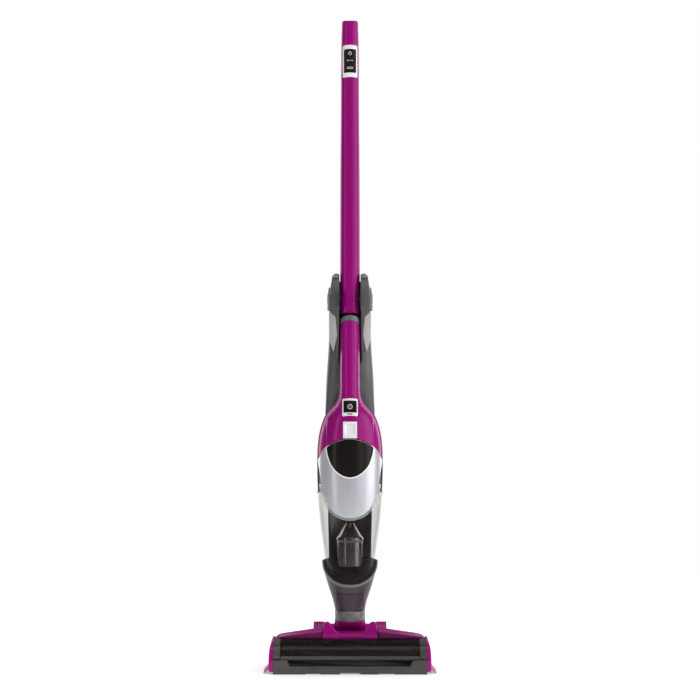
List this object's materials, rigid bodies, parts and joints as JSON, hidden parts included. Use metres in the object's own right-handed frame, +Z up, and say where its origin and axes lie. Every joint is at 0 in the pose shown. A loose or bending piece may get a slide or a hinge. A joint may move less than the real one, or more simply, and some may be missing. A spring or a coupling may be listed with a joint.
{
  "type": "cordless stick vacuum",
  "caption": "Upright cordless stick vacuum: powered brush head, swivel neck, lift-out hand vacuum with clear dirt cup, and a folding handle with a key panel.",
  "frame": {"origin": "on the floor, at the middle of the whole object's footprint", "axes": "+Z up along the upright stick, -Y to the front, where the brush window, badge and keys face, +X to the right as seen from the front"},
  "size_m": [0.292, 0.168, 1.118],
  "materials": {
    "magenta_plastic": "glossy moulded plastic",
    "dark_grey_plastic": "satin moulded plastic",
    "light_grey_plastic": "satin moulded plastic",
    "silver_plastic": "satin silver paint on plastic",
    "white_plastic": "glossy white plastic",
    "gloss_black_plastic": "glossy near-black plastic",
    "black_plastic": "moulded black plastic",
    "smoked_clear_plastic": "smoked clear plastic",
    "clear_plastic": "clear plastic",
    "plum_plastic": "satin dark plum plastic",
    "pink_bristle": "soft nylon bristle",
    "dark_bristle": "moulded core with nylon bristle rows",
    "black_rubber": "moulded rubber",
    "steel": "turned steel",
    "cell_metal": "drawn metal can",
    "filter_paper": "pleated filter paper",
    "circuit_laminate": "printed circuit board"
  },
  "bodies": {
    "foot": {"sole_plate": "dark_grey_plastic", "head_cover": "magenta_plastic", "brush_window": "smoked_clear_plastic", "front_bumper": "dark_grey_plastic", "end_cap_right": "magenta_plastic", "end_cap_left": "magenta_plastic", "edge_brush_right": "pink_bristle", "edge_brush_left": "pink_bristle", "brush_bearing_right": "steel", "brush_bearing_left": "steel", "brush_motor": "steel", "drive_belt": "black_rubber", "centre_cover": "magenta_plastic", "rear_axle": "steel"},
    "brush": {"brush_roll": "dark_bristle"},
    "motor_shaft": {"motor_pulley": "steel"},
    "wheel_right": {"rear_wheel_right": "black_rubber"},
    "wheel_left": {"rear_wheel_left": "black_rubber"},
    "elbow": {"elbow": "magenta_plastic"},
    "frame": {"neck_socket": "dark_grey_plastic", "neck_panel": "plum_plastic", "seat_plate": "black_plastic", "spine_front": "dark_grey_plastic", "spine_back": "dark_grey_plastic", "charge_socket": "black_plastic", "cheek_right": "dark_grey_plastic", "cheek_left": "dark_grey_plastic", "pivot_cover_right": "light_grey_plastic", "pivot_cover_left": "light_grey_plastic", "side_panel_right": "light_grey_plastic", "side_panel_left": "light_grey_plastic", "hinge_pin": "steel", "fork_bridge": "dark_grey_plastic"},
    "fold_button": {"fold_button": "light_grey_plastic"},
    "handle": {"handle_front": "magenta_plastic", "handle_rear": "magenta_plastic", "handle_cap": "magenta_plastic", "panel_bezel": "white_plastic", "panel_face": "gloss_black_plastic"},
    "key_power": {"key_power": "gloss_black_plastic"},
    "key_mode": {"key_mode": "gloss_black_plastic"},
    "key_brush": {"key_brush": "gloss_black_plastic"},
    "hand_vac": {"upper_shell": "magenta_plastic", "rear_housing": "dark_grey_plastic", "front_liner": "dark_grey_plastic", "grip_cap": "light_grey_plastic", "power_bezel": "white_plastic", "filter_frame": "black_plastic", "filter_pleats": "filter_paper", "suction_motor": "cell_metal", "battery_pack": "cell_metal", "circuit_board": "circuit_laminate"},
    "power_button": {"power_button": "gloss_black_plastic"},
    "cup_latch": {"cup_latch": "white_plastic"},
    "fan": {"fan": "black_plastic"},
    "dirt_cup": {"dirt_cup": "smoked_clear_plastic", "silver_plate": "silver_plastic", "badge_cover": "gloss_black_plastic", "inlet_duct": "clear_plastic"},
    "inlet_flap": {"inlet_flap": "black_rubber"}
  },
  "joints": [
    {"name": "brush_spin", "type": "hinge", "parent": "foot", "child": "brush", "pos_m": [0, -0.054, 0.024], "axis": [1, 0, 0], "continuous": true},
    {"name": "motor_spin", "type": "hinge", "parent": "foot", "child": "motor_shaft", "pos_m": [0, -0.016, 0.027], "axis": [1, 0, 0], "continuous": true},
    {"name": "wheel_right_spin", "type": "hinge", "parent": "foot", "child": "wheel_right", "pos_m": [0.0546, 0.068, 0.016], "axis": [1, 0, 0], "continuous": true},
    {"name": "wheel_left_spin", "type": "hinge", "parent": "foot", "child": "wheel_left", "pos_m": [-0.0546, 0.068, 0.016], "axis": [1, 0, 0], "continuous": true},
    {"name": "neck_recline", "type": "hinge", "parent": "foot", "child": "elbow", "pos_m": [0, 0.042, 0.044], "axis": [-1, 0, 0], "range_deg": [0, 80]},
    {"name": "neck_swivel", "type": "hinge", "parent": "elbow", "child": "frame", "pos_m": [0, 0.02, 0.073], "axis": [0, 0, 1], "range_deg": [-60, 60]},
    {"name": "handle_fold", "type": "hinge", "parent": "frame", "child": "handle", "pos_m": [0, 0.024, 0.632], "axis": [1, 0, 0], "range_deg": [0, 90]},
    {"name": "fold_press", "type": "slide", "parent": "frame", "child": "fold_button", "axis": [0, -1, 0], "range_m": [0, 0.0025], "stiffness_N_per_m": 400, "springref_m": -0.001},
    {"name": "key_power_press", "type": "slide", "parent": "handle", "child": "key_power", "axis": [0, 1, 0], "range_m": [0, 0.0008], "stiffness_N_per_m": 500, "springref_m": -0.0006},
    {"name": "key_mode_press", "type": "slide", "parent": "handle", "child": "key_mode", "axis": [0, 1, 0], "range_m": [0, 0.0008], "stiffness_N_per_m": 500, "springref_m": -0.0006},
    {"name": "key_brush_press", "type": "slide", "parent": "handle", "child": "key_brush", "axis": [0, 1, 0], "range_m": [0, 0.0008], "stiffness_N_per_m": 500, "springref_m": -0.0006},
    {"name": "vac_tilt", "type": "hinge", "parent": "frame", "child": "hand_vac", "pos_m": [0, -0.014, 0.138], "axis": [1, 0, 0], "range_deg": [0, 40]},
    {"name": "power_press", "type": "slide", "parent": "hand_vac", "child": "power_button", "axis": [0, 1, 0], "range_m": [0, 0.0012], "stiffness_N_per_m": 400, "springref_m": -0.001},
    {"name": "latch_press", "type": "slide", "parent": "hand_vac", "child": "cup_latch", "axis": [0, 1, 0], "range_m": [0, 0.0025], "stiffness_N_per_m": 400, "springref_m": -0.001},
    {"name": "fan_spin", "type": "hinge", "parent": "hand_vac", "child": "fan", "pos_m": [0, 0.02, 0.333], "axis": [0, 0, 1], "continuous": true},
    {"name": "cup_pull", "type": "slide", "parent": "hand_vac", "child": "dirt_cup", "axis": [0, -1, 0], "range_m": [0, 0.07]},
    {"name": "flap_swing", "type": "hinge", "parent": "dirt_cup", "child": "inlet_flap", "pos_m": [0, 0.0355, 0.1897], "axis": [-1, 0, 0], "range_deg": [0, 75]}
  ],
  "couplings": [
    {"joint": "motor_spin", "follows": "brush_spin", "ratio": 2.2}
  ]
}
